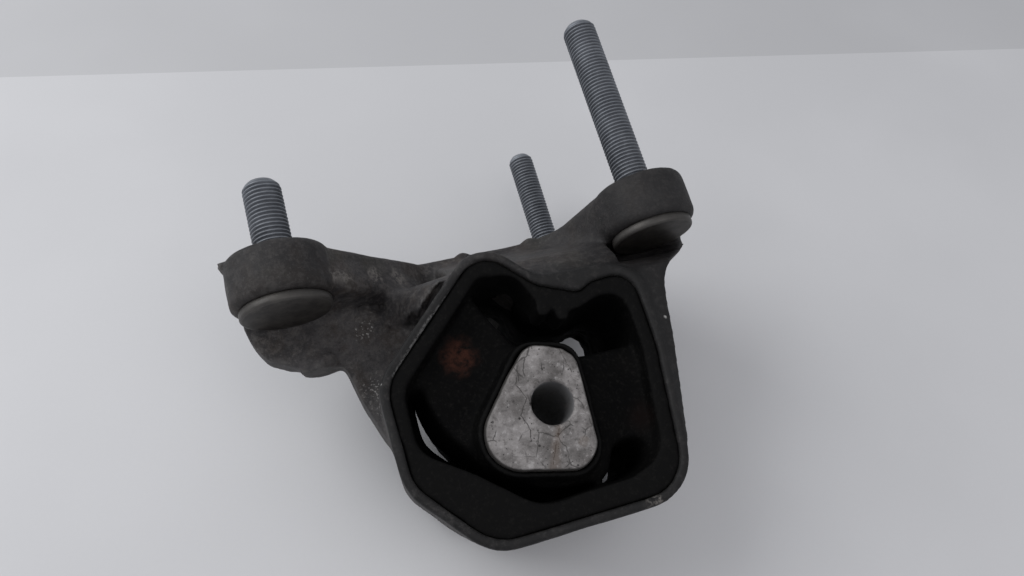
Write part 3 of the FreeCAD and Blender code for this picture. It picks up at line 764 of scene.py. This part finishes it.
def bush(material):
    """The rubber's skin: all its steps run into each other with moulded radii."""
    skin = Skin("rubber_bush", RUBBER_CELL)
    depth = np.abs(skin.points[:, 2])
    outer = np.clip((23.6 - depth) / 1.0, 0.15, 1.0)
    skin.fill_corners(38, 0.9 * outer)
    skin.soften(4, 0.5)
    points = skin.points
    swell = 0.10 * lattice_noise(points, 6.0, 1.7) * (np.abs(points[:, 2]) < 23.0)
    swell += 0.30 * lattice_noise(points, 2.2, 4.1) * (points[:, 2] < -6.0) * (points[:, 2] > -23.4)
    torn = fade(np.linalg.norm((points - (25.5, 26.3, -19.0)) * (1.0, 1.0, 0.7), axis=1), 9.0)
    swell += (1.8 * lattice_noise(points, 2.4, 8.1) - 1.6) * torn
    normal = skin.normals()
    for centre, radius, height, side in BUSH_SWELLS:
        away = np.linalg.norm((points - centre) * (1.0, 1.0, 0.5), axis=1)
        swell = swell + height * fade(away, radius) * np.clip(normal @ np.array(side), 0.0, 1.0)
    skin.raise_by(swell)
    skin.finish("moulded_bush", "rubber_bush", material)


# centre, radius and height of each swelling of the rubber, and the side that swells
BUSH_SWELLS = [
    ((-28.0, 6.0, -14.0), 24.0, 4.2, (-0.9, -0.44, 0.0)),
    ((17.5, -21.0, -18.0), 11.0, 2.6, (0.2, -0.98, 0.0)),
    ((17.5, -26.0, -18.0), 11.0, 1.6, (-0.2, 0.98, 0.0)),
    ((13.0, 20.0, -20.0), 7.0, 1.3, (0.7, 0.7, 0.0)),
]


def core(material):
    """The core's skin, with its corners and edges rubbed round and nicked."""
    skin = Skin("bush_core", CORE_CELL)
    points = skin.points
    for corner in ((-8.5, 18.6), (10.8, 15.6), (-29.0, -14.5), (9.6, -21.4)):
        away = np.linalg.norm(points[:, :2] - corner, axis=1)
        inward = -points[:, :2] / np.linalg.norm(points[:, :2], axis=1)[:, None]
        points[:, :2] += inward * (0.9 * fade(away, 9.0))[:, None]
    skin.soften(3, 0.5)
    skin.raise_by(-0.22 * np.clip(lattice_noise(points, 2.4, 9.3), 0.0, 1.0))
    skin.finish("worn_core", "bush_core", material)


# ---- table, lights and camera -------------------------------------------------------------

def lowest_level():
    """Height of the object's lowest point along the table's normal."""
    levels = []
    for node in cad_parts.values():
        flat = np.empty(len(node.data.vertices) * 3)
        node.data.vertices.foreach_get("co", flat)
        levels.append((flat.reshape(-1, 3) @ TABLE_NORMAL).min())
    return min(levels)


def far_edge(across):
    """How far from the origin the table ends, in metres, at a place across it: a slanting line."""
    return FAR_EDGE_START - FAR_EDGE_SLOPE * across


def table(material, far_material):
    """A flat table under the part's two resting edges, with a duller board beyond its far edge."""
    level = lowest_level() - TABLE_GAP
    across = np.array([1.0, 0.0, 0.0])
    away = np.array([0.0, TABLE_NORMAL[2], -TABLE_NORMAL[1]])
    middle = TABLE_NORMAL * level
    sides = (-TABLE_HALF, TABLE_HALF)
    near = [middle + across * a - away * TABLE_HALF for a in sides]
    seam = [middle + across * a + away * far_edge(a) for a in sides]
    far = [point + away * TABLE_HALF for point in seam]
    corners = [near[0], near[1], seam[1], seam[0], far[1], far[0]]
    mesh = bpy.data.meshes.new("table")
    faces = [(0, 1, 2, 3), (3, 2, 4, 5)]
    mesh.from_pydata([tuple(corner) for corner in corners], [], faces)
    mesh.materials.append(material)
    mesh.materials.append(far_material)
    mesh.polygons[1].material_index = 1
    top = bpy.data.objects.new("table", mesh)
    bpy.context.scene.collection.objects.link(top)


CAMERA_RIGHT = Vector((0.94239, -0.27618, 0.18875))
CAMERA_UP = Vector((0.20250, 0.92011, 0.33526))
CAMERA_BACK = Vector((-0.26626, -0.27772, 0.92303))
CAMERA_PLACE = Vector((-0.06387, -0.02855, 0.24008))
FOCAL_LENGTH = 27.42          # mm, on a sensor this wide
SENSOR_WIDTH = 36.0
LAMP_AIM = Vector((-0.005, 0.03, 0.0))
# name, shares of right, up and front from the part, size, power and tint
LAMPS = [
    ("window", (-0.74, 0.62, 0.46), 0.80, 6.6, (0.985, 0.995, 1.0)),
    ("fill", (0.35, 0.15, 0.9), 0.9, 2.0, (1.0, 0.965, 0.96)),
]
SKY_TINT = (0.93, 0.95, 1.0, 1.0)
SKY_STRENGTH = 0.50


def turned_to(right, up, back, place):
    """Matrix of an object at a place whose own X, Y and Z run right, up and back."""
    return Matrix(((right.x, up.x, back.x, place.x), (right.y, up.y, back.y, place.y),
                   (right.z, up.z, back.z, place.z), (0.0, 0.0, 0.0, 1.0)))


def camera():
    """The camera, close over the ring's front and a little to the left."""
    lens = bpy.data.cameras.new("camera")
    lens.lens = FOCAL_LENGTH
    lens.sensor_width = SENSOR_WIDTH
    lens.clip_start = 0.01
    taker = bpy.data.objects.new("camera", lens)
    taker.matrix_world = turned_to(CAMERA_RIGHT, CAMERA_UP, CAMERA_BACK, CAMERA_PLACE)
    bpy.context.scene.collection.objects.link(taker)
    bpy.context.scene.camera = taker


def soft_lamp(name, shares, size, power, tint):
    """A square lamp, placed by its shares of right, up and front, that looks at the part."""
    side, height, front = shares
    place = LAMP_AIM + CAMERA_RIGHT * side + CAMERA_UP * height + CAMERA_BACK * front
    lamp = bpy.data.lights.new(name, "AREA")
    lamp.size = size
    lamp.energy = power
    lamp.color = tint
    holder = bpy.data.objects.new(name, lamp)
    holder.location = place
    holder.rotation_euler = (place - LAMP_AIM).to_track_quat("Z", "Y").to_euler()
    bpy.context.scene.collection.objects.link(holder)


def lights():
    """A window at the upper left, a weak warm fill from the front, and an even grey room."""
    for lamp in LAMPS:
        soft_lamp(*lamp)
    world = bpy.data.worlds.new("room")
    bpy.context.scene.world = world
    world.use_nodes = True
    sky = world.node_tree.nodes["Background"]
    sky.inputs["Color"].default_value = SKY_TINT
    sky.inputs["Strength"].default_value = SKY_STRENGTH


def main():
    casting(cast_finish())
    bush(rubber_finish())
    core(core_finish())
    zinc = zinc_finish()
    for name in STUDS:
        threaded_stud(name, zinc)
    table(pale_finish("pale_table", 1.0), pale_finish("pale_board", 0.86))
    lights()
    camera()
    bpy.context.scene.view_settings.view_transform = "Standard"


main()
